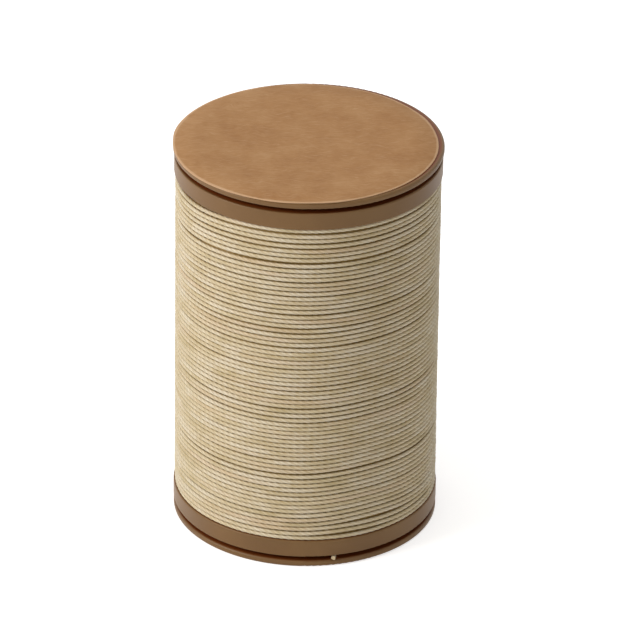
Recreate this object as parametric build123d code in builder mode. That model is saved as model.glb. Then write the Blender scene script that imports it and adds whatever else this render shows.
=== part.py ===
from build123d import *
from math import cos, pi, radians, sin, tan
import os

os.makedirs("parts", exist_ok=True)

# Waxed thread spool: two identical cup flanges pressed into a core tube, a snap cap that closes
# each cup, the wound thread and its free end, and a plain disc on top.
# The origin is the centre of the face that the spool stands on, and +Z is the winding axis.

# Thread
thread_diameter = 0.55
winding_diameter = 31.5
winding_height = 41.7
winding_clearance = 0.05

# Core tube
tube_outer_diameter = 11.2
tube_wall = 0.9

# Flanges: cups whose rims show as the bands above and below the thread
flange_diameter = 31.85
flange_height = 2.15
flange_web = 1.1
rim_wall = 1.3
rim_edge_radius = 0.15
spigot_length = 6.0
spigot_wall = 0.9
latch_ledge_height = 0.9
barb_clearance = 0.2

# Snap caps: alike but for their lips, the upper one a little wider
lower_lip_diameter = 31.8
upper_lip_diameter = 32.1
lip_thickness = 0.8
lip_edge_radius = 0.3
gap_clearance = 0.03
stem_wall = 0.8
stem_clearance = 0.05
barb_height = 1.0
barb_reach = 0.3
barb_lead_in = 0.25
slit_width = 0.8
slit_count = 4
cap_travel = 1.2
seat_ring_radius = 8.0
seat_ring_wall = 1.0
bore_chamfer = 0.3

# Label disc
label_diameter = 31.6
label_thickness = 0.12
label_offset_x = -0.40
label_offset_y = -0.28

# Radii that follow
tube_outer = tube_outer_diameter / 2
tube_bore = tube_outer - tube_wall
flange_outer = flange_diameter / 2
rim_bore = flange_outer - rim_wall
spigot_bore = tube_bore - spigot_wall
stem_outer = spigot_bore - stem_clearance
stem_bore = stem_outer - stem_wall
barb_outer = stem_outer + barb_reach
latch_bore = barb_outer + barb_clearance
winding_outer = winding_diameter / 2
winding_inner = tube_outer + winding_clearance
thread_radius = thread_diameter / 2

# Heights that follow, from the face it stands on
thread_gap = thread_diameter + gap_clearance
rim_bottom = lip_thickness + thread_gap
winding_bottom = rim_bottom + flange_height
web_bottom = winding_bottom - flange_web
ledge_top = winding_bottom + latch_ledge_height
spigot_top = winding_bottom + spigot_length
barb_bottom = ledge_top + cap_travel
stem_top = barb_bottom + barb_height
middle_height = winding_bottom + winding_height / 2
label_bottom = 2 * middle_height
middle_plane = Plane.XY.offset(middle_height)


def finish(piece, name):
    """Label a finished piece and write it to its own file."""
    piece.part.label = name
    export_step(piece.part, f"parts/{name}.step")
    print(f"{name}: {piece.part.volume:.2f} mm3")


# ---- core tube: carries the winding between the two flanges
with BuildPart() as core_tube:
    with BuildSketch(Plane.XY.offset(winding_bottom)):
        Circle(tube_outer)
        Circle(tube_bore, mode=Mode.SUBTRACT)
    extrude(amount=winding_height)
finish(core_tube, "core_tube")


# ---- flanges: rim, web and a hollow spigot that plugs into the tube
with BuildPart() as lower_flange:
    with BuildSketch(Plane.XZ):
        with BuildLine():
            Polyline(
                (rim_bore, rim_bottom),
                (flange_outer, rim_bottom),
                (flange_outer, winding_bottom),
                (tube_bore, winding_bottom),
                (tube_bore, spigot_top),
                (latch_bore, spigot_top),
                (latch_bore, ledge_top),
                (spigot_bore, ledge_top),
                (spigot_bore, web_bottom),
                (rim_bore, web_bottom),
                close=True,
            )
        make_face()
    revolve(axis=Axis.Z)
    rim_edges = lower_flange.edges().filter_by(GeomType.CIRCLE).filter_by(
        lambda edge: abs(edge.radius - flange_outer) < rim_edge_radius
    )
    fillet(rim_edges, rim_edge_radius)
finish(lower_flange, "lower_flange")

with BuildPart() as upper_flange:
    mirror(lower_flange.part, about=middle_plane)
finish(upper_flange, "upper_flange")


# ---- snap caps: lip disc, ring that seats on the web, and a slit stem with a barb
def snap_cap(lip_diameter):
    """Build a cap that lies lip down, its stem pointing up."""
    with BuildPart() as cap:
        with BuildSketch():
            Circle(lip_diameter / 2)
        extrude(amount=lip_thickness)
        fillet(cap.edges().filter_by(GeomType.CIRCLE), lip_edge_radius)
        with BuildSketch(Plane.XY.offset(lip_thickness)):
            Circle(seat_ring_radius)
            Circle(seat_ring_radius - seat_ring_wall, mode=Mode.SUBTRACT)
        extrude(amount=web_bottom - lip_thickness)
        with BuildSketch(Plane.XZ):
            with BuildLine():
                Polyline(
                    (stem_bore, lip_thickness),
                    (stem_outer, lip_thickness),
                    (stem_outer, barb_bottom),
                    (barb_outer, barb_bottom),
                    (barb_outer, stem_top - barb_lead_in - barb_reach),
                    (stem_outer - barb_lead_in, stem_top),
                    (stem_bore, stem_top),
                    close=True,
                )
            make_face()
        revolve(axis=Axis.Z)
        with BuildSketch():
            Circle(stem_bore)
        extrude(amount=stem_top, mode=Mode.SUBTRACT)
        with BuildSketch(Plane.XY.offset(web_bottom)):
            with PolarLocations(stem_bore + stem_wall / 2, slit_count):
                Rectangle(2 * stem_wall + 2 * barb_reach, slit_width)
        extrude(amount=stem_top - web_bottom, mode=Mode.SUBTRACT)
        mouth_edges = cap.edges().filter_by(GeomType.CIRCLE).group_by(Axis.Z)[0]
        chamfer(mouth_edges.sort_by(SortBy.RADIUS)[0], bore_chamfer)
    return cap.part


with BuildPart() as lower_cap:
    add(snap_cap(lower_lip_diameter))
finish(lower_cap, "lower_cap")

with BuildPart() as upper_cap:
    mirror(snap_cap(upper_lip_diameter), about=middle_plane)
finish(upper_cap, "upper_cap")


# ---- label disc: thin plain card, stuck a little off centre over the upper cap's bore
with BuildPart() as label_disc:
    with BuildSketch(Plane.XY.offset(label_bottom)):
        with Locations((label_offset_x, label_offset_y)):
            Circle(label_diameter / 2)
    extrude(amount=label_thickness)
finish(label_disc, "label_disc")


# ---- wound thread, as one closed solid of its outer shape
with BuildPart() as thread_winding:
    with BuildSketch(Plane.XY.offset(winding_bottom)):
        Circle(winding_outer)
        Circle(winding_inner, mode=Mode.SUBTRACT)
    extrude(amount=winding_height)
finish(thread_winding, "thread_winding")


# ---- free end of the thread: off the last turn at the back, down over the lower rim, in through
# the gap above the lower lip, round inside the cup and out again at the front, where it is cut.
# Each point is a heading in degrees from +X, a distance from the axis, and a height.
gap_middle = lip_thickness + thread_gap / 2
tail_points = [
    (140.0, 16.10, 4.30),
    (127.0, 16.30, 4.20),
    (114.0, 16.37, 3.95),
    (101.0, 16.38, 3.40),
    (87.0, 16.38, 2.70),
    (73.0, 16.38, 1.95),
    (59.0, 16.38, 1.30),
    (46.0, 16.33, gap_middle),
    (33.0, 15.95, gap_middle),
    (20.0, 15.15, gap_middle),
    (7.0, 14.40, gap_middle),
    (-7.0, 14.00, gap_middle),
    (-21.0, 13.88, gap_middle),
    (-35.0, 13.85, gap_middle),
    (-47.0, 13.70, gap_middle),
    (-57.0, 13.42, gap_middle),
    (-65.0, 13.22, gap_middle),
    (-71.0, 13.38, gap_middle),
    (-75.0, 14.35, gap_middle),
    (-77.2, 15.95, gap_middle),
]
run_share = 0.45


def place(heading, distance, height):
    """Turn one tail point into x, y and z."""
    return Vector(distance * cos(radians(heading)), distance * sin(radians(heading)), height)


tail_route = [place(*point) for point in tail_points]
tail_radii = []
for before, here, after in zip(tail_route, tail_route[1:], tail_route[2:]):
    arriving = here - before
    leaving = after - here
    half_turn = radians(arriving.get_angle(leaving)) / 2
    shorter_run = min(arriving.length, leaving.length)
    tail_radii.append(run_share * shorter_run / tan(half_turn))
print("tail radii:", [round(radius, 2) for radius in tail_radii])

with BuildPart() as thread_tail:
    with BuildLine():
        tail_path = FilletPolyline(*tail_route, radius=tail_radii)
    with BuildSketch(Plane(origin=tail_path @ 0, z_dir=tail_path % 0)):
        Circle(thread_radius)
    sweep(path=tail_path)
finish(thread_tail, "thread_tail")
section_times_length = pi * thread_radius**2 * tail_path.length
print(f"tail length: {tail_path.length:.2f} mm, section x length: {section_times_length:.2f} mm3")
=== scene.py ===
import math
import random

import bpy
import numpy as np
from mathutils import Matrix, Vector


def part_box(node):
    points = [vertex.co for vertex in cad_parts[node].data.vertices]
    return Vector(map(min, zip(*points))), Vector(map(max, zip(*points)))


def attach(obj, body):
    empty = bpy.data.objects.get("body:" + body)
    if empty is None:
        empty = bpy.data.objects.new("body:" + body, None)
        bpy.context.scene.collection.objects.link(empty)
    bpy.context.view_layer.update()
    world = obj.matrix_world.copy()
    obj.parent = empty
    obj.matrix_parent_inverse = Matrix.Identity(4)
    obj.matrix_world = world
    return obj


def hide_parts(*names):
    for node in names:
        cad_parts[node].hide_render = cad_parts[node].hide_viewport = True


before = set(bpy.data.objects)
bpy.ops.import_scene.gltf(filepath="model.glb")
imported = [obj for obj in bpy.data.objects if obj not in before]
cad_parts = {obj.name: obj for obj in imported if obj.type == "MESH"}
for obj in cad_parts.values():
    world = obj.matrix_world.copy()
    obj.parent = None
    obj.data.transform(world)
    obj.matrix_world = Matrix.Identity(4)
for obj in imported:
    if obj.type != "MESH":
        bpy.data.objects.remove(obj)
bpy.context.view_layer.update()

millimetre = 0.001
windingLow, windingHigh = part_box("thread_winding")
tubeLow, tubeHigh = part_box("core_tube")
labelLow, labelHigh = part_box("label_disc")
lipLow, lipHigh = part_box("upper_cap")


def linearColour(hexValue):
    channels = [int(hexValue[i:i + 2], 16) / 255 for i in (1, 3, 5)]
    return [c / 12.92 if c <= 0.04045 else ((c + 0.055) / 1.055) ** 2.4 for c in channels] + [1.0]


def addNode(tree, kind, values=None, links=None, stops=None, **settings):
    # one node with its settings, its fixed inputs, what is plugged into it and a ramp's colour stops
    node = tree.nodes.new(kind)
    for name, value in settings.items():
        setattr(node, name, value)
    for socket, value in (values or {}).items():
        node.inputs[socket].default_value = value
    for socket, source in (links or {}).items():
        tree.links.new(source, node.inputs[socket])
    if stops:
        elements = node.color_ramp.elements
        while len(elements) < len(stops):
            elements.new(0.5)
        for element, (position, hexValue) in zip(elements, stops):
            element.position = position
            element.color = linearColour(hexValue)
    return node


def fade(none, full, most=1.0):
    # inputs of a map range: nothing at the first value, its most at the second
    return {"From Min": none, "From Max": full, "To Max": most}


def newMaterial(name):
    material = bpy.data.materials.new(name)
    material.use_nodes = True
    tree = material.node_tree
    return material, tree, tree.nodes["Principled BSDF"]


def newObject(name, data):
    made = bpy.data.objects.new(name, data)
    bpy.context.scene.collection.objects.link(made)
    return made


def onSpline(points, order, name, resolution, endpoint=True):
    # a NURBS curve object from its control points
    curve = bpy.data.curves.new(name, "CURVE")
    curve.dimensions = "3D"
    spline = curve.splines.new("NURBS")
    spline.points.add(len(points) - 1)
    spline.points.foreach_set("co", [v for p in points for v in (*p, 1.0)])
    spline.order_u = order
    spline.use_endpoint_u = endpoint
    spline.resolution_u = resolution
    return newObject(name, curve)


def fromHeading(heading, distance, height):
    angle = math.radians(heading)
    return (distance * math.cos(angle), distance * math.sin(angle), height)


cameraValues = {
    "distance": 0.771,
    "elevation": 28.2,
    "turnedLeft": 0.72,      # degrees that the camera leans over
    "aimHeight": 0.02365,
    "lens": 361.7,
    "shift": (0.0209, 0.0151),
}


def placeCamera(values):
    elevation = math.radians(values["elevation"])
    lean = math.radians(values["turnedLeft"])
    forward = Vector((0, math.cos(elevation), -math.sin(elevation)))
    right = Vector((1, 0, 0))
    up = right.cross(forward)
    leanedRight = right * math.cos(lean) + up * math.sin(lean)
    leanedUp = up * math.cos(lean) - right * math.sin(lean)
    data = bpy.data.cameras.new("camera")
    data.lens = values["lens"]
    data.sensor_width = 36.0
    data.shift_x, data.shift_y = values["shift"]
    data.clip_start = 0.01
    camera = newObject("camera", data)
    turn = Matrix((leanedRight, leanedUp, -forward)).transposed().to_4x4()
    place = Vector((0, 0, values["aimHeight"])) - forward * values["distance"]
    camera.matrix_world = Matrix.Translation(place) @ turn
    bpy.context.scene.camera = camera


placeCamera(cameraValues)

lightValues = {
    "key": {"place": (-0.50, -0.18, 0.32), "size": 0.32, "energy": 2.45, "tint": "#fbf8f8"},
    "fill": {"place": (0.10, -0.60, 0.25), "size": 0.40, "energy": 0.34, "tint": "#fff3e0"},
    "top": {"place": (0.0, 0.05, 0.60), "size": 0.40, "energy": 0.85, "tint": "#ffffff"},
    "surround": 0.27,
    "aimHeight": 0.025,
}


def placeLight(name, place, size, energy, tint):
    data = bpy.data.lights.new(name, "AREA")
    data.size = size
    data.energy = energy
    data.color = linearColour(tint)[:3]
    lamp = newObject(name, data)
    toObject = Vector((0, 0, lightValues["aimHeight"])) - Vector(place)
    lamp.matrix_world = Matrix.Translation(place) @ toObject.to_track_quat("-Z", "Y").to_matrix().to_4x4()


for lightName in ("key", "fill", "top"):
    placeLight(lightName, **lightValues[lightName])


def seenDirectly(tree):
    # 1 for what the camera, a reflection or a refraction sees, 0 for what lights the object
    path = addNode(tree, "ShaderNodeLightPath")
    first = addNode(tree, "ShaderNodeMath", operation="MAXIMUM",
                    links={0: path.outputs["Is Camera Ray"], 1: path.outputs["Is Glossy Ray"]})
    both = addNode(tree, "ShaderNodeMath", operation="MAXIMUM",
                   links={0: first.outputs[0], 1: path.outputs["Is Transmission Ray"]})
    return both.outputs[0]


def surroundWorld(strength):
    world = bpy.data.worlds.new("surround")
    world.use_nodes = True
    bpy.context.scene.world = world
    tree = world.node_tree
    background = tree.nodes["Background"]
    background.inputs["Color"].default_value = (1, 1, 1, 1)
    level = addNode(tree, "ShaderNodeMapRange", values={"To Min": strength, "To Max": 1.0},
                    links={"Value": seenDirectly(tree)})
    tree.links.new(level.outputs["Result"], background.inputs["Strength"])


floorValues = {
    "half": 1.5,
    "tint": "#f4f4f4",
    "lift": 0.6,
}


def paleFloor(values):
    # matt white sheet: it shows the shadow, and is lifted to white where it is seen
    mesh = bpy.data.meshes.new("floor")
    half = values["half"]
    corners = [(-half, -half, 0), (half, -half, 0), (half, half, 0), (-half, half, 0)]
    mesh.from_pydata(corners, [], [(0, 1, 2, 3)])
    floor = newObject("floor", mesh)
    material, tree, shader = newMaterial("paleFloor")
    shader.inputs["Base Color"].default_value = linearColour(values["tint"])
    shader.inputs["Roughness"].default_value = 0.9
    lift = addNode(tree, "ShaderNodeMath", operation="MULTIPLY", values={1: values["lift"]},
                   links={0: seenDirectly(tree)})
    shader.inputs["Emission Color"].default_value = (1, 1, 1, 1)
    tree.links.new(lift.outputs[0], shader.inputs["Emission Strength"])
    mesh.materials.append(material)


surroundWorld(lightValues["surround"])
paleFloor(floorValues)
bpy.context.scene.view_settings.view_transform = "Standard"
print("camera, lights and floor placed")

plasticValues = {
    "darker": "#745531",
    "colour": "#7b5b35",
    "lighter": "#82623b",
    "cloudStops": (0.3, 0.5, 0.72),
    # painted light: the red of light bounced inside the gaps, mixed in near the axis
    "paintedGapBounce": "#763b14",
    "paintedGapBounceFrom": (15.84, 15.56),      # mm from the axis: none, full
    "flowSize": 9 * millimetre,
    "grainSize": 0.35 * millimetre,
    "grainHeight": 0.010 * millimetre,
    "roughness": (0.36, 0.50),
}


def distanceFromAxis(tree):
    # millimetres from the spool's axis
    place = addNode(tree, "ShaderNodeTexCoord").outputs["Object"]
    flat = addNode(tree, "ShaderNodeVectorMath", operation="MULTIPLY", values={1: (1000, 1000, 0)},
                   links={0: place})
    distance = addNode(tree, "ShaderNodeVectorMath", operation="LENGTH", links={0: flat.outputs["Vector"]})
    return distance.outputs["Value"]


def mouldedPolypropylene(values):
    # moulded plastic: satin, a little cloudy in colour, with a very fine skin texture and painted bounce
    # light in its gaps
    material, tree, shader = newMaterial("mouldedPolypropylene")
    place = addNode(tree, "ShaderNodeTexCoord").outputs["Object"]
    flow = addNode(tree, "ShaderNodeTexNoise", values={"Scale": 1 / values["flowSize"], "Detail": 3.0},
                   links={"Vector": place})
    shades = (values["darker"], values["colour"], values["lighter"])
    outside = addNode(tree, "ShaderNodeValToRGB", links={"Fac": flow.outputs["Fac"]},
                      stops=list(zip(values["cloudStops"], shades)))
    # painted light: redder inside the gaps, standing in for light bounced between the plastic walls
    inside = addNode(tree, "ShaderNodeMapRange", links={"Value": distanceFromAxis(tree)},
                     values=fade(*values["paintedGapBounceFrom"]))
    tinted = addNode(tree, "ShaderNodeMix", data_type="RGBA", values={"B": linearColour(values["paintedGapBounce"])},
                     links={"Factor": inside.outputs["Result"], "A": outside.outputs["Color"]})
    tree.links.new(tinted.outputs["Result"], shader.inputs["Base Color"])
    grain = addNode(tree, "ShaderNodeTexNoise", values={"Scale": 1 / values["grainSize"], "Detail": 2.0},
                    links={"Vector": place})
    bump = addNode(tree, "ShaderNodeBump", values={"Strength": 0.35, "Distance": values["grainHeight"]},
                   links={"Height": grain.outputs["Fac"]})
    tree.links.new(bump.outputs["Normal"], shader.inputs["Normal"])
    gloss = addNode(tree, "ShaderNodeMapRange", links={"Value": flow.outputs["Fac"]},
                    values={"To Min": values["roughness"][0], "To Max": values["roughness"][1]})
    tree.links.new(gloss.outputs["Result"], shader.inputs["Roughness"])
    shader.inputs["IOR"].default_value = 1.49
    shader.inputs["Specular IOR Level"].default_value = 0.30
    return material


cardValues = {
    "darker": "#a07143",
    "colour": "#ae8051",
    "lighter": "#bb8f61",
    "cloudStops": (0.3, 0.5, 0.7),
    "fibre": "#c9a47b",
    "fibreShown": (0.50, 0.74, 0.42),   # noise value: none, full, and how much
    # painted highlight: a paler rim where the card's edge catches the light
    "edge": "#cda67e",
    "rimHighlightFrom": (15.70, 15.86),         # mm from the disc's centre, cloud added: none, full
    "rimHighlightCloud": 0.60,                  # mm
    "cloudSize": 6 * millimetre,
    "fibreLength": 1.2 * millimetre,
    "fibreWidth": 0.12 * millimetre,
    "fibreBend": 2 * millimetre,
    "fibreHeight": 0.012 * millimetre,
}


def kraftCard(values):
    # unprinted kraft card: matt, with short pale fibres pressed flat and a paler rim, a painted highlight
    material, tree, shader = newMaterial("kraftCard")
    place = addNode(tree, "ShaderNodeTexCoord").outputs["Object"]
    cloud = addNode(tree, "ShaderNodeTexNoise", links={"Vector": place},
                    values={"Scale": 1 / values["cloudSize"], "Detail": 8.0, "Roughness": 0.72})
    shades = (values["darker"], values["colour"], values["lighter"])
    base = addNode(tree, "ShaderNodeValToRGB", links={"Fac": cloud.outputs["Fac"]},
                   stops=list(zip(values["cloudStops"], shades)))
    along, width, bend = values["fibreLength"], values["fibreWidth"], values["fibreBend"]
    wave = addNode(tree, "ShaderNodeTexNoise", values={"Scale": 1 / (2 * along), "Detail": 1.0},
                   links={"Vector": place})
    bent = addNode(tree, "ShaderNodeVectorMath", operation="MULTIPLY_ADD", values={1: (bend, bend, 0)},
                   links={0: wave.outputs["Color"], 2: place})
    stretch = addNode(tree, "ShaderNodeMapping", values={"Scale": (1 / along, 1 / width, 1 / along)},
                      links={"Vector": bent.outputs["Vector"]})
    fibres = addNode(tree, "ShaderNodeTexNoise", values={"Scale": 1.0, "Detail": 2.0},
                     links={"Vector": stretch.outputs["Vector"]})
    amount = addNode(tree, "ShaderNodeMapRange", values=fade(*values["fibreShown"]),
                     links={"Value": fibres.outputs["Fac"]})
    fibrous = addNode(tree, "ShaderNodeMix", data_type="RGBA", values={"B": linearColour(values["fibre"])},
                      links={"Factor": amount.outputs["Result"], "A": base.outputs["Color"]})
    # painted highlight along the rim, made uneven by the cloud
    # millimetres from the disc's centre
    moved = (-500 * (labelLow.x + labelHigh.x), -500 * (labelLow.y + labelHigh.y), 0)
    centred = addNode(tree, "ShaderNodeMapping", vector_type="POINT", links={"Vector": place},
                      values={"Location": moved, "Scale": (1000, 1000, 0)})
    outwards = addNode(tree, "ShaderNodeVectorMath", operation="LENGTH", links={0: centred.outputs["Vector"]})
    uneven = addNode(tree, "ShaderNodeMath", operation="MULTIPLY_ADD", values={1: values["rimHighlightCloud"]},
                     links={0: cloud.outputs["Fac"], 2: outwards.outputs["Value"]})
    edge = addNode(tree, "ShaderNodeMapRange", values=fade(*values["rimHighlightFrom"]),
                   links={"Value": uneven.outputs[0]})
    rimHighlighted = addNode(tree, "ShaderNodeMix", data_type="RGBA", values={"B": linearColour(values["edge"])},
                    links={"Factor": edge.outputs["Result"], "A": fibrous.outputs["Result"]})
    tree.links.new(rimHighlighted.outputs["Result"], shader.inputs["Base Color"])
    bump = addNode(tree, "ShaderNodeBump", values={"Strength": 0.4, "Distance": values["fibreHeight"]},
                   links={"Height": fibres.outputs["Fac"]})
    tree.links.new(bump.outputs["Normal"], shader.inputs["Normal"])
    shader.inputs["Roughness"].default_value = 0.70
    shader.inputs["IOR"].default_value = 1.5
    shader.inputs["Specular IOR Level"].default_value = 0.35
    return material


threadFinish = {
    "shade": "#d2c29a",
    "colour": "#e4d5b2",
    "light": "#efe4ca",
    "patchStops": (0.28, 0.46, 0.62),
    "blush": "#e2c8a8",
    "blushShown": (0.55, 0.75, 0.45),   # noise value: none, full, and how much
    "blushNoise": (0.41, 300.0),        # the patches' noise, drawn out by one and moved by the other
    # painted shade: the brown mixed in where the ply grooves and the gaps between turns lie in shadow
    "paintedFurrowShade": "#ae8a3a",
    "patchLength": 9.0,         # mm of thread over which the wax and colour change
    "fibreLength": 1.6,         # mm
    "fibreWidth": 0.05,         # mm
    "fibreHeight": 0.02 * millimetre,
    "fibreShades": (0.85, 1.06),
    # painted shade: darker in the ply grooves, and darker further in towards the axis
    "paintedPlyShade": (0.268, 0.236, 0.30),    # mm from the thread's centre: none, full, and how much
    "paintedTurnShade": (15.66, 15.51, 0.84),   # mm from the spool's axis: none, full, and how much
}


def waxedRamie(values, name, paintedTurnShade):
    # waxed ramie: pale, faintly glossy plies with flattened fibres, with painted shade that makes them
    # browner between the plies and between the turns, where shadow falls
    material, tree, shader = newMaterial(name)
    along = addNode(tree, "ShaderNodeAttribute", attribute_name="along").outputs["Fac"]
    section = addNode(tree, "ShaderNodeAttribute", attribute_name="section").outputs["Vector"]
    slow = addNode(tree, "ShaderNodeMath", operation="DIVIDE", values={1: values["patchLength"]},
                   links={0: along})
    patch = addNode(tree, "ShaderNodeTexNoise", noise_dimensions="1D", links={"W": slow.outputs[0]},
                    values={"Scale": 1.0, "Detail": 4.0, "Roughness": 0.7})
    shades = (values["shade"], values["colour"], values["light"])
    base = addNode(tree, "ShaderNodeValToRGB", links={"Fac": patch.outputs["Fac"]},
                   stops=list(zip(values["patchStops"], shades)))
    drawnOut, moved = values["blushNoise"]
    other = addNode(tree, "ShaderNodeMath", operation="MULTIPLY_ADD", values={1: drawnOut, 2: moved},
                    links={0: slow.outputs[0]})
    blush = addNode(tree, "ShaderNodeTexNoise", noise_dimensions="1D", values={"Scale": 1.0, "Detail": 3.0},
                    links={"W": other.outputs[0]})
    blushAmount = addNode(tree, "ShaderNodeMapRange", values=fade(*values["blushShown"]),
                          links={"Value": blush.outputs["Fac"]})
    blushed = addNode(tree, "ShaderNodeMix", data_type="RGBA", values={"B": linearColour(values["blush"])},
                      links={"Factor": blushAmount.outputs["Result"], "A": base.outputs["Color"]})
    # fibres run with the plies: stretched along the thread, fine across it
    lengthways = addNode(tree, "ShaderNodeMath", operation="DIVIDE", values={1: values["fibreLength"]},
                         links={0: along})
    across = addNode(tree, "ShaderNodeVectorMath", operation="SCALE", links={0: section},
                     values={"Scale": 1 / values["fibreWidth"]})
    parts = addNode(tree, "ShaderNodeSeparateXYZ", links={0: across.outputs["Vector"]})
    place = addNode(tree, "ShaderNodeCombineXYZ",
                    links={0: lengthways.outputs[0], 1: parts.outputs["X"], 2: parts.outputs["Y"]})
    fibres = addNode(tree, "ShaderNodeTexNoise", values={"Scale": 1.0, "Detail": 3.0, "Roughness": 0.65},
                     links={"Vector": place.outputs[0]})
    darkest, lightest = values["fibreShades"]
    streak = addNode(tree, "ShaderNodeMapRange", links={"Value": fibres.outputs["Fac"]},
                     values={"From Min": 0.3, "From Max": 0.7, "To Min": darkest, "To Max": lightest})
    streaked = addNode(tree, "ShaderNodeVectorMath", operation="SCALE",
                       links={0: blushed.outputs["Result"], "Scale": streak.outputs["Result"]})
    # painted shade: the brown mixed in towards the ply grooves and further in towards the axis
    fromCentre = addNode(tree, "ShaderNodeVectorMath", operation="LENGTH", links={0: section})
    paintedPlyShade = addNode(tree, "ShaderNodeMapRange", values=fade(*values["paintedPlyShade"]),
                      links={"Value": fromCentre.outputs["Value"]})
    deepShade = addNode(tree, "ShaderNodeMapRange", values=fade(*paintedTurnShade),
                   links={"Value": distanceFromAxis(tree)})
    darker = addNode(tree, "ShaderNodeMath", operation="MAXIMUM",
                     links={0: paintedPlyShade.outputs["Result"], 1: deepShade.outputs["Result"]})
    withPaintedShade = addNode(tree, "ShaderNodeMix", data_type="RGBA", values={"B": linearColour(values["paintedFurrowShade"])},
                    links={"Factor": darker.outputs[0], "A": streaked.outputs["Vector"]})
    tree.links.new(withPaintedShade.outputs["Result"], shader.inputs["Base Color"])
    bump = addNode(tree, "ShaderNodeBump", values={"Strength": 0.5, "Distance": values["fibreHeight"]},
                   links={"Height": fibres.outputs["Fac"]})
    tree.links.new(bump.outputs["Normal"], shader.inputs["Normal"])
    shader.inputs["Roughness"].default_value = 0.5
    shader.inputs["IOR"].default_value = 1.45
    shader.inputs["Specular IOR Level"].default_value = 0.40
    shader.inputs["Sheen Weight"].default_value = 0.15
    shader.inputs["Sheen Roughness"].default_value = 0.5
    return material


plastic = mouldedPolypropylene(plasticValues)
card = kraftCard(cardValues)
thread = waxedRamie(threadFinish, "waxedRamie", threadFinish["paintedTurnShade"])
looseThread = waxedRamie(threadFinish, "waxedRamieLoose", (1.0, 0.0, 0.0))
print("materials made")

for nodeName in ("core_tube", "lower_flange", "upper_flange", "lower_cap", "upper_cap"):
    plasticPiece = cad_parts[nodeName]
    for materialSlot in plasticPiece.material_slots:
        materialSlot.material = plastic

plyValues = {
    "radius": 0.275 * millimetre,
    "plies": 3,
    "pointsPerPly": 4,
    "grooveDepth": 0.15,        # share of the radius
    "layLength": 2.4 * millimetre,
}


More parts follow.
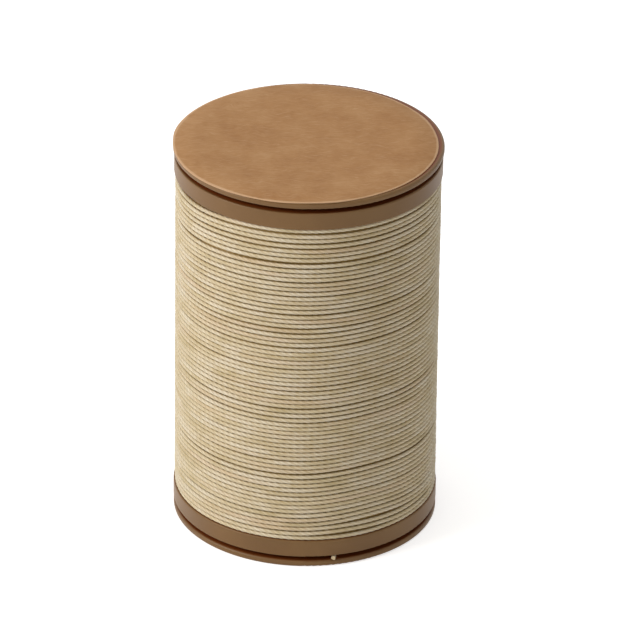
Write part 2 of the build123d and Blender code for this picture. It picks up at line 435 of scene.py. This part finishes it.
def plyThreadTree():
    # follows a curve with a twisted section of several plies
    tree = bpy.data.node_groups.new("plyThread", "GeometryNodeTree")
    sockets = {}
    for name, kind in (("Curve", "NodeSocketGeometry"), ("Radius", "NodeSocketFloat"),
                       ("Plies", "NodeSocketInt"), ("Points Per Ply", "NodeSocketInt"),
                       ("Groove Depth", "NodeSocketFloat"),
                       ("Lay Length", "NodeSocketFloat"), ("Start Along", "NodeSocketFloat"),
                       ("Material", "NodeSocketMaterial")):
        sockets[name] = tree.interface.new_socket(name, in_out="INPUT", socket_type=kind).identifier
    tree.interface.new_socket("Mesh", in_out="OUTPUT", socket_type="NodeSocketGeometry")
    given = addNode(tree, "NodeGroupInput").outputs

    # section: a circle pulled in between its plies
    count = addNode(tree, "ShaderNodeMath", operation="MULTIPLY",
                    links={0: given["Plies"], 1: given["Points Per Ply"]})
    circle = addNode(tree, "GeometryNodeCurvePrimitiveCircle",
                     links={"Resolution": count.outputs[0], "Radius": given["Radius"]})
    index = addNode(tree, "GeometryNodeInputIndex").outputs[0]
    step = addNode(tree, "ShaderNodeMath", operation="DIVIDE",
                   links={0: index, 1: given["Points Per Ply"]})
    turn = addNode(tree, "ShaderNodeMath", operation="MULTIPLY", values={1: math.tau},
                   links={0: step.outputs[0]})
    wave = addNode(tree, "ShaderNodeMath", operation="COSINE", links={0: turn.outputs[0]})
    pulled = addNode(tree, "ShaderNodeMath", operation="MULTIPLY_ADD", values={1: 0.5, 2: -0.5},
                     links={0: wave.outputs[0]})
    share = addNode(tree, "ShaderNodeMath", operation="MULTIPLY_ADD", values={2: 1.0},
                    links={0: pulled.outputs[0], 1: given["Groove Depth"]})
    where = addNode(tree, "GeometryNodeInputPosition").outputs[0]
    shaped = addNode(tree, "ShaderNodeVectorMath", operation="SCALE",
                     links={0: where, "Scale": share.outputs[0]})
    section = addNode(tree, "GeometryNodeSetPosition",
                      links={"Geometry": circle.outputs["Curve"], "Position": shaped.outputs["Vector"]})
    inMillimetres = addNode(tree, "ShaderNodeVectorMath", operation="SCALE", values={"Scale": 1 / millimetre},
                            links={0: where})
    keptSection = addNode(tree, "GeometryNodeStoreNamedAttribute", data_type="FLOAT_VECTOR",
                          values={"Name": "section"},
                          links={"Geometry": section.outputs[0], "Value": inMillimetres.outputs["Vector"]})

    # path: evenly stepped, with the twist wound in
    stepped = addNode(tree, "GeometryNodeResampleCurve", mode="EVALUATED", links={"Curve": given["Curve"]})
    length = addNode(tree, "GeometryNodeSplineParameter").outputs["Length"]
    fromStart = addNode(tree, "ShaderNodeMath", operation="ADD", links={0: length, 1: given["Start Along"]})
    turns = addNode(tree, "ShaderNodeMath", operation="DIVIDE",
                    links={0: fromStart.outputs[0], 1: given["Lay Length"]})
    twist = addNode(tree, "ShaderNodeMath", operation="MULTIPLY", values={1: math.tau},
                    links={0: turns.outputs[0]})
    level = addNode(tree, "GeometryNodeSetCurveNormal", mode="Z_UP", links={"Curve": stepped.outputs[0]})
    twisted = addNode(tree, "GeometryNodeSetCurveTilt",
                      links={"Curve": level.outputs[0], "Tilt": twist.outputs[0]})
    alongMillimetres = addNode(tree, "ShaderNodeMath", operation="DIVIDE", values={1: millimetre},
                               links={0: fromStart.outputs[0]})
    keptPath = addNode(tree, "GeometryNodeStoreNamedAttribute", data_type="FLOAT", values={"Name": "along"},
                       links={"Geometry": twisted.outputs[0], "Value": alongMillimetres.outputs[0]})

    swept = addNode(tree, "GeometryNodeCurveToMesh", values={"Fill Caps": True},
                    links={"Curve": keptPath.outputs[0], "Profile Curve": keptSection.outputs[0]})
    smooth = addNode(tree, "GeometryNodeSetShadeSmooth", links={"Geometry": swept.outputs[0]})
    real = addNode(tree, "GeometryNodeRealizeInstances", links={"Geometry": smooth.outputs[0]})
    finished = addNode(tree, "GeometryNodeSetMaterial",
                       links={"Geometry": real.outputs[0], "Material": given["Material"]})
    addNode(tree, "NodeGroupOutput", links={0: finished.outputs[0]})
    return tree, sockets


plyTree, plySockets = plyThreadTree()


def spunThread(name, path, startAlong, material):
    # runs the tree on a curve and keeps the result as a plain mesh
    modifier = path.modifiers.new("plies", "NODES")
    modifier.node_group = plyTree
    wanted = {
        "Radius": plyValues["radius"],
        "Plies": plyValues["plies"],
        "Points Per Ply": plyValues["pointsPerPly"],
        "Groove Depth": plyValues["grooveDepth"],
        "Lay Length": plyValues["layLength"],
        "Start Along": startAlong,
        "Material": material,
    }
    for socket, value in wanted.items():
        modifier[plySockets[socket]] = value
    evaluated = path.evaluated_get(bpy.context.evaluated_depsgraph_get())
    mesh = bpy.data.meshes.new_from_object(evaluated)
    mesh.name = name
    path.modifiers.remove(modifier)
    return newObject(name, mesh)


mapValues = {
    "stripStart": 0.002,        # shares of the map's width
    "stripLength": 0.99,
    "stripMargin": 0.04,        # shares of a strip's height
    "stripHeight": 0.92,
    "capPlace": (0.3, 0.5),     # in the top strip
    "capSpacing": 0.1,
    "capSize": (0.01, 0.3),
}


def stripMap(piece, stripLength):
    # lays the thread out flat in parallel strips, so that a texture of it has room
    mesh = piece.data
    ringSize = plyValues["plies"] * plyValues["pointsPerPly"]
    along = np.empty(len(mesh.vertices))
    mesh.attributes["along"].data.foreach_get("value", along)
    rings = along.reshape(-1, ringSize)[:, 0]
    rings = (rings - rings[0]) * millimetre / stripLength
    rows = int(rings[-1]) + 2
    corner = np.empty(len(mesh.loops), int)
    mesh.loops.foreach_get("vertex_index", corner)
    uv = np.zeros((len(corner), 2))
    quads = 4 * ringSize * (len(rings) - 1)
    ring, around = corner[:quads] // ringSize, corner[:quads] % ringSize
    ringOfFace = ring.reshape(-1, 4).min(axis=1).repeat(4)
    row = np.floor(rings[ringOfFace] + 1e-6)
    wraps = (around.reshape(-1, 4).max(axis=1) == ringSize - 1).repeat(4) & (around == 0)
    wraps &= (around.reshape(-1, 4).min(axis=1) == 0).repeat(4)
    upStrip = mapValues["stripHeight"] * np.where(wraps, ringSize, around) / ringSize
    uv[:quads, 0] = mapValues["stripStart"] + mapValues["stripLength"] * (rings[ring] - row)
    uv[:quads, 1] = (row + mapValues["stripMargin"] + upStrip) / rows
    capAngle = math.tau * (corner[quads:] % ringSize) / ringSize
    capAcross, capUp = mapValues["capPlace"]
    capWidth, capHeight = mapValues["capSize"]
    farCap = corner[quads:] >= ringSize
    uv[quads:, 0] = capAcross + capWidth * np.cos(capAngle) + mapValues["capSpacing"] * farCap
    uv[quads:, 1] = (rows - capUp + capHeight * np.sin(capAngle)) / rows
    layer = mesh.uv_layers.new(name="OFBake")
    layer.data.foreach_set("uv", uv.ravel())


# free end: off the last turn at the back, over the lower rim, in through the gap over the lower
# lip, round inside the cup and out at the front. Heading in degrees, distance and height in metres.
gapMiddle = 0.00109
tailPoints = [
    (140.0, 0.01610, 0.00430),
    (127.0, 0.01630, 0.00420),
    (114.0, 0.01637, 0.00395),
    (101.0, 0.01638, 0.00340),
    (87.0, 0.01638, 0.00270),
    (73.0, 0.01638, 0.00195),
    (59.0, 0.01638, 0.00130),
    (46.0, 0.01633, gapMiddle),
    (33.0, 0.01595, gapMiddle),
    (20.0, 0.01515, gapMiddle),
    (7.0, 0.01440, gapMiddle),
    (-7.0, 0.01400, gapMiddle),
    (-21.0, 0.01388, gapMiddle),
    (-35.0, 0.01385, gapMiddle),
    (-47.0, 0.01370, gapMiddle),
    (-57.0, 0.01342, gapMiddle),
    (-65.0, 0.01322, gapMiddle),
    (-71.0, 0.01338, gapMiddle),
    (-75.0, 0.01435, gapMiddle),
    (-77.2, 0.01595, gapMiddle),
]


def freeEnd():
    route = [fromHeading(*point) for point in tailPoints]
    path = onSpline(route, 3, "tailPath", 24)
    line = bpy.data.meshes.new_from_object(path.evaluated_get(bpy.context.evaluated_depsgraph_get()))
    centre = [tuple(v.co) for v in line.vertices]
    length = sum(math.dist(a, b) for a, b in zip(centre, centre[1:]))
    piece = spunThread("threadTail", path, 0.0, looseThread)
    bpy.data.objects.remove(path)
    stripMap(piece, length / 2)
    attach(piece, "spool")
    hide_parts("thread_tail")
    print("free end:", round(length, 4), "m")


freeEnd()

windingValues = {
    "turns": 69,                # levels that the thread drops from the upper flange to the lower
    "controlPoints": 24,        # a turn
    "steps": 16,                # between control points
    "pieces": 4,
    "startHeading": 195.0,
    "settling": 24,             # turns over which flat turns become a helix
    "firstStep": (0.86, 0.98),  # part of the first turn in which it drops to the next level
    "lastStep": (0.04, 0.22),   # the same for the last turn
    "slack": 0.24 * millimetre,     # widest space left between turns
    "slackRarity": 3,           # power that makes wide spaces rare
    "slackKnots": 1.3,          # a turn
    "heightKnots": 5,
    "heightWander": 0.010 * millimetre,
    "radiusKnots": 2.3,
    "radiusWander": 0.028 * millimetre,
    "standing": 0.05 * millimetre,  # how far every turn stands out
    "bulge": 0.06 * millimetre,     # and the lowest turns more
    "bulgeFrom": 0.5,           # share of the way down
    "leastBulge": 130,          # heading
    "startDepth": 0.5 * millimetre,     # the hidden start comes up from below
    "startTurns": 0.07,
    "seed": 55,
    # spaces that are wider: below which turn, at what heading, how wide in mm, over how many degrees
    "gaps": [
        (0, 200.0, 0.18, 24.0),
        (67, -68.0, 0.34, 44.0),
        (65, -56.0, 0.36, 56.0),
        (64, 215.0, 0.14, 26.0),
        (21, -95.0, 0.10, 120.0),
        (33, -70.0, 0.08, 150.0),
        (50, -110.0, 0.09, 90.0),
    ],
}


def eased(share):
    share = min(1.0, max(0.0, share))
    return share * share * (3 - 2 * share)


def smoothNoise(source, knots, samples):
    # random values at evenly spaced knots, eased in between
    values = [source.uniform(-1, 1) for _ in range(knots + 2)]
    made = []
    for sample in range(samples):
        position = sample / samples * knots
        low = int(position)
        share = eased(position - low)
        made.append(values[low] * (1 - share) + values[low + 1] * share)
    return np.array(made)


def levelOf(turned, values):
    # how many turns down the thread lies: flat against the flange at both ends, a helix between
    whole = int(turned)
    part = turned - whole
    turns = values["turns"]
    if whole >= turns:
        return turns
    likeFirst = max(0.0, 1 - whole / values["settling"])
    likeLast = max(0.0, 1 - (turns - 1 - whole) / values["settling"])
    firstFrom, firstTo = values["firstStep"]
    lastFrom, lastTo = values["lastStep"]
    first = eased((part - firstFrom) / (firstTo - firstFrom))
    last = eased((part - lastFrom) / (lastTo - lastFrom))
    return whole + likeFirst * first + likeLast * last + (1 - likeFirst - likeLast) * part


def windingDrift(source, values):
    # turns lie mostly tight with some open spaces, and those below follow the ones above
    turns, perTurn = values["turns"], values["controlPoints"]
    rows = turns - 1
    chance = (smoothNoise(source, int(rows * values["slackKnots"]), rows * perTurn) + 1) / 2
    slack = chance ** values["slackRarity"] * values["slack"]
    for row, heading, width, spread in values["gaps"]:
        place = row + ((values["startHeading"] - heading) % 360) / 360
        near = 1 - np.abs(np.arange(rows * perTurn) / perTurn - place) * 2 * 360 / spread
        slack += width * millimetre * np.array([eased(share) for share in near])
    slack = slack.reshape(rows, perTurn)
    slack -= slack.mean(axis=0)
    return np.vstack([np.zeros(perTurn), np.cumsum(slack, axis=0), np.zeros(perTurn)])


def windingPath(values):
    source = random.Random(values["seed"])
    turns, perTurn = values["turns"], values["controlPoints"]
    drift = windingDrift(source, values)
    count = turns * perTurn + 2
    wobble = smoothNoise(source, turns * values["heightKnots"], count) * values["heightWander"]
    wander = smoothNoise(source, int(turns * values["radiusKnots"]), count) * values["radiusWander"]
    top = windingHigh.z - plyValues["radius"]
    bottom = windingLow.z + plyValues["radius"]
    pitch = (top - bottom) / turns
    roundness = 3 / (2 + math.cos(math.tau / perTurn))      # a cubic spline runs inside its control points
    points = []
    for step in range(count):
        turned = step / perTurn
        level = levelOf(turned, values)
        heading = values["startHeading"] - 360 * turned
        height = top - pitch * level - drift[step // perTurn, step % perTurn] + wobble[step]
        side = 0.5 - 0.5 * math.cos(math.radians(heading - values["leastBulge"]))
        lowness = (level / turns - values["bulgeFrom"]) / (1 - values["bulgeFrom"])
        bulge = values["bulge"] * side * eased(lowness)
        sunk = values["startDepth"] * (1 - eased(turned / values["startTurns"]))
        distance = windingHigh.x - plyValues["radius"] + wander[step] + values["standing"] + bulge - sunk
        points.append(fromHeading(heading, distance * roundness, min(top, max(bottom, height))))
    return points


# where the last turn climbs over the edge of the winding to the free end
leavingPoints = [
    (165.0, 0.01560, 0.00384),
    (157.0, 0.01572, 0.00396),
    (149.0, 0.01590, 0.00413),
    (140.0, 0.01610, 0.00430),
]
windingPoints = windingPath(windingValues) + [fromHeading(*point) for point in leavingPoints]


def woundThread(values):
    # one evaluated line for the whole thread, cut into lengths that each become a piece
    whole = onSpline(windingPoints, 4, "wholeThread", values["steps"])
    line = bpy.data.meshes.new_from_object(whole.evaluated_get(bpy.context.evaluated_depsgraph_get()))
    bpy.data.objects.remove(whole)
    spots = np.empty(3 * len(line.vertices))
    line.vertices.foreach_get("co", spots)
    spots = spots.reshape(-1, 3)
    reached = np.concatenate([[0], np.cumsum(np.linalg.norm(np.diff(spots, axis=0), axis=1))])
    share = math.ceil(len(spots) / values["pieces"])
    for number in range(values["pieces"]):
        first = number * share
        last = min(len(spots), first + share + 1)
        curve = bpy.data.curves.new("threadLength", "CURVE")
        curve.dimensions = "3D"
        spline = curve.splines.new("POLY")
        spline.points.add(last - first - 1)
        spline.points.foreach_set("co", np.c_[spots[first:last], np.ones(last - first)].ravel())
        path = newObject("threadLength", curve)
        # lengths count from where the free end starts, so that the twist runs on into it
        piece = spunThread(f"windingTurns{number + 1}", path, float(reached[first] - reached[-1]), thread)
        bpy.data.objects.remove(path)
        stripMap(piece, math.pi * windingHigh.x)
        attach(piece, "spool")
        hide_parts("thread_winding")
        print(piece.name, len(piece.data.polygons), "faces")
    print("outer layer of thread:", round(float(reached[-1]), 3), "m")


woundThread(windingValues)

underValues = {
    "ridges": 70,
    "stepsPerRidge": 4,
    "sides": 96,
    "crest": 0.45 * millimetre,     # below the outside of the winding
    "ridgeHeight": 0.22 * millimetre,
    "clearance": 0.05 * millimetre,
    "alongPerDegree": 0.27,     # mm of thread
    "alongPerMetre": 1e5,       # so that neighbouring ridges differ in colour
}


def innerLayers(values):
    # the layers below the outer one, as one ridged sleeve that shows in the gaps
    outer = windingHigh.x - values["crest"]
    inner = tubeHigh.x + values["clearance"]
    low, high = windingLow.z, windingHigh.z
    rings = values["ridges"] * values["stepsPerRidge"] + 1
    sides = values["sides"]
    verts, faces = [], []
    for ring in range(rings):
        height = low + (high - low) * ring / (rings - 1)
        for side in range(sides):
            phase = ring / values["stepsPerRidge"] + side / sides
            dip = values["ridgeHeight"] * (0.5 - 0.5 * math.cos(math.tau * phase))
            verts.append(fromHeading(360 * side / sides, outer - dip, height))
    for side in range(sides):
        verts.append(fromHeading(360 * side / sides, inner, low))
    for side in range(sides):
        verts.append(fromHeading(360 * side / sides, inner, high))
    lowInner, highInner, topRing = rings * sides, (rings + 1) * sides, (rings - 1) * sides
    for side in range(sides):
        after = (side + 1) % sides
        for ring in range(rings - 1):
            a, b = ring * sides, (ring + 1) * sides
            faces.append((a + side, a + after, b + after, b + side))
        faces.append((lowInner + side, lowInner + after, after, side))
        faces.append((topRing + side, topRing + after, highInner + after, highInner + side))
        faces.append((highInner + side, highInner + after, lowInner + after, lowInner + side))
    mesh = bpy.data.meshes.new("innerLayers")
    mesh.from_pydata(verts, [], faces)
    mesh.shade_smooth()
    along = mesh.attributes.new("along", "FLOAT", "POINT")
    perDegree, perMetre = values["alongPerDegree"], values["alongPerMetre"]
    lengths = [math.degrees(math.atan2(y, x)) * perDegree + perMetre * z for x, y, z in verts]
    along.data.foreach_set("value", lengths)
    section = mesh.attributes.new("section", "FLOAT_VECTOR", "POINT")
    places = [c / millimetre for x, y, z in verts for c in (0, z, math.hypot(x, y))]
    section.data.foreach_set("vector", places)
    piece = newObject("innerLayers", mesh)
    # its material paints it in shade, darkest as it lies furthest in towards the axis
    mesh.materials.append(thread)
    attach(piece, "spool")
    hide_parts("thread_winding")


innerLayers(underValues)

labelValues = {
    "sides": 180,
    "edgeRound": 0.035 * millimetre,
    "edgeWander": 0.07 * millimetre,
    "edgeKnots": 28,
    "seamPower": 8,             # how late the wander fades out before the outline closes
    "innerRings": (0.4, 0.8),   # shares of the radius
    "crush": 0.3,               # share of the rounding at its middle ring
    "seed": 7,
}


def cardDisc(values):
    # die-cut card with a slightly crushed edge
    source = random.Random(values["seed"])
    sides = values["sides"]
    centre = ((labelLow.x + labelHigh.x) / 2, (labelLow.y + labelHigh.y) / 2)
    radius = (labelHigh.x - labelLow.x) / 2 - values["edgeWander"]
    edge = values["edgeRound"]
    low, high = labelLow.z, labelHigh.z
    swell = smoothNoise(source, values["edgeKnots"], sides + 1)
    fading = 1 - np.linspace(0, 1, sides) ** values["seamPower"]
    swell = swell[:sides] * fading * values["edgeWander"]
    crushed = values["crush"] * edge
    inner, middle = values["innerRings"]
    # each ring of the disc: share of the radius, height, and how far it is moved in
    outline = [
        (inner, high, 0),
        (middle, high, 0),
        (1.0, high, -edge),
        (1.0, high - crushed, -crushed),
        (1.0, high - edge, 0),
        (1.0, low + edge, 0),
        (1.0, low, -edge),
        (inner, low, 0),
    ]
    verts, faces = [], []
    for share, height, inset in outline:
        for side in range(sides):
            angle = math.tau * side / sides
            reach = share * (radius + swell[side]) + inset
            verts.append((centre[0] + reach * math.cos(angle), centre[1] + reach * math.sin(angle), height))
    for ring in range(len(outline) - 1):
        for side in range(sides):
            after = (side + 1) % sides
            a, b = ring * sides, (ring + 1) * sides
            faces.append((a + side, b + side, b + after, a + after))
    verts.append((*centre, high))
    verts.append((*centre, low))
    last = (len(outline) - 1) * sides
    for side in range(sides):
        after = (side + 1) % sides
        faces.append((len(verts) - 2, side, after))
        faces.append((len(verts) - 1, last + after, last + side))
    mesh = bpy.data.meshes.new("cardDisc")
    mesh.from_pydata(verts, [], faces)
    mesh.shade_smooth()
    piece = newObject("cardDisc", mesh)
    mesh.materials.append(card)
    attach(piece, "top_cap")
    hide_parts("label_disc")


cardDisc(labelValues)
print("card disc made")
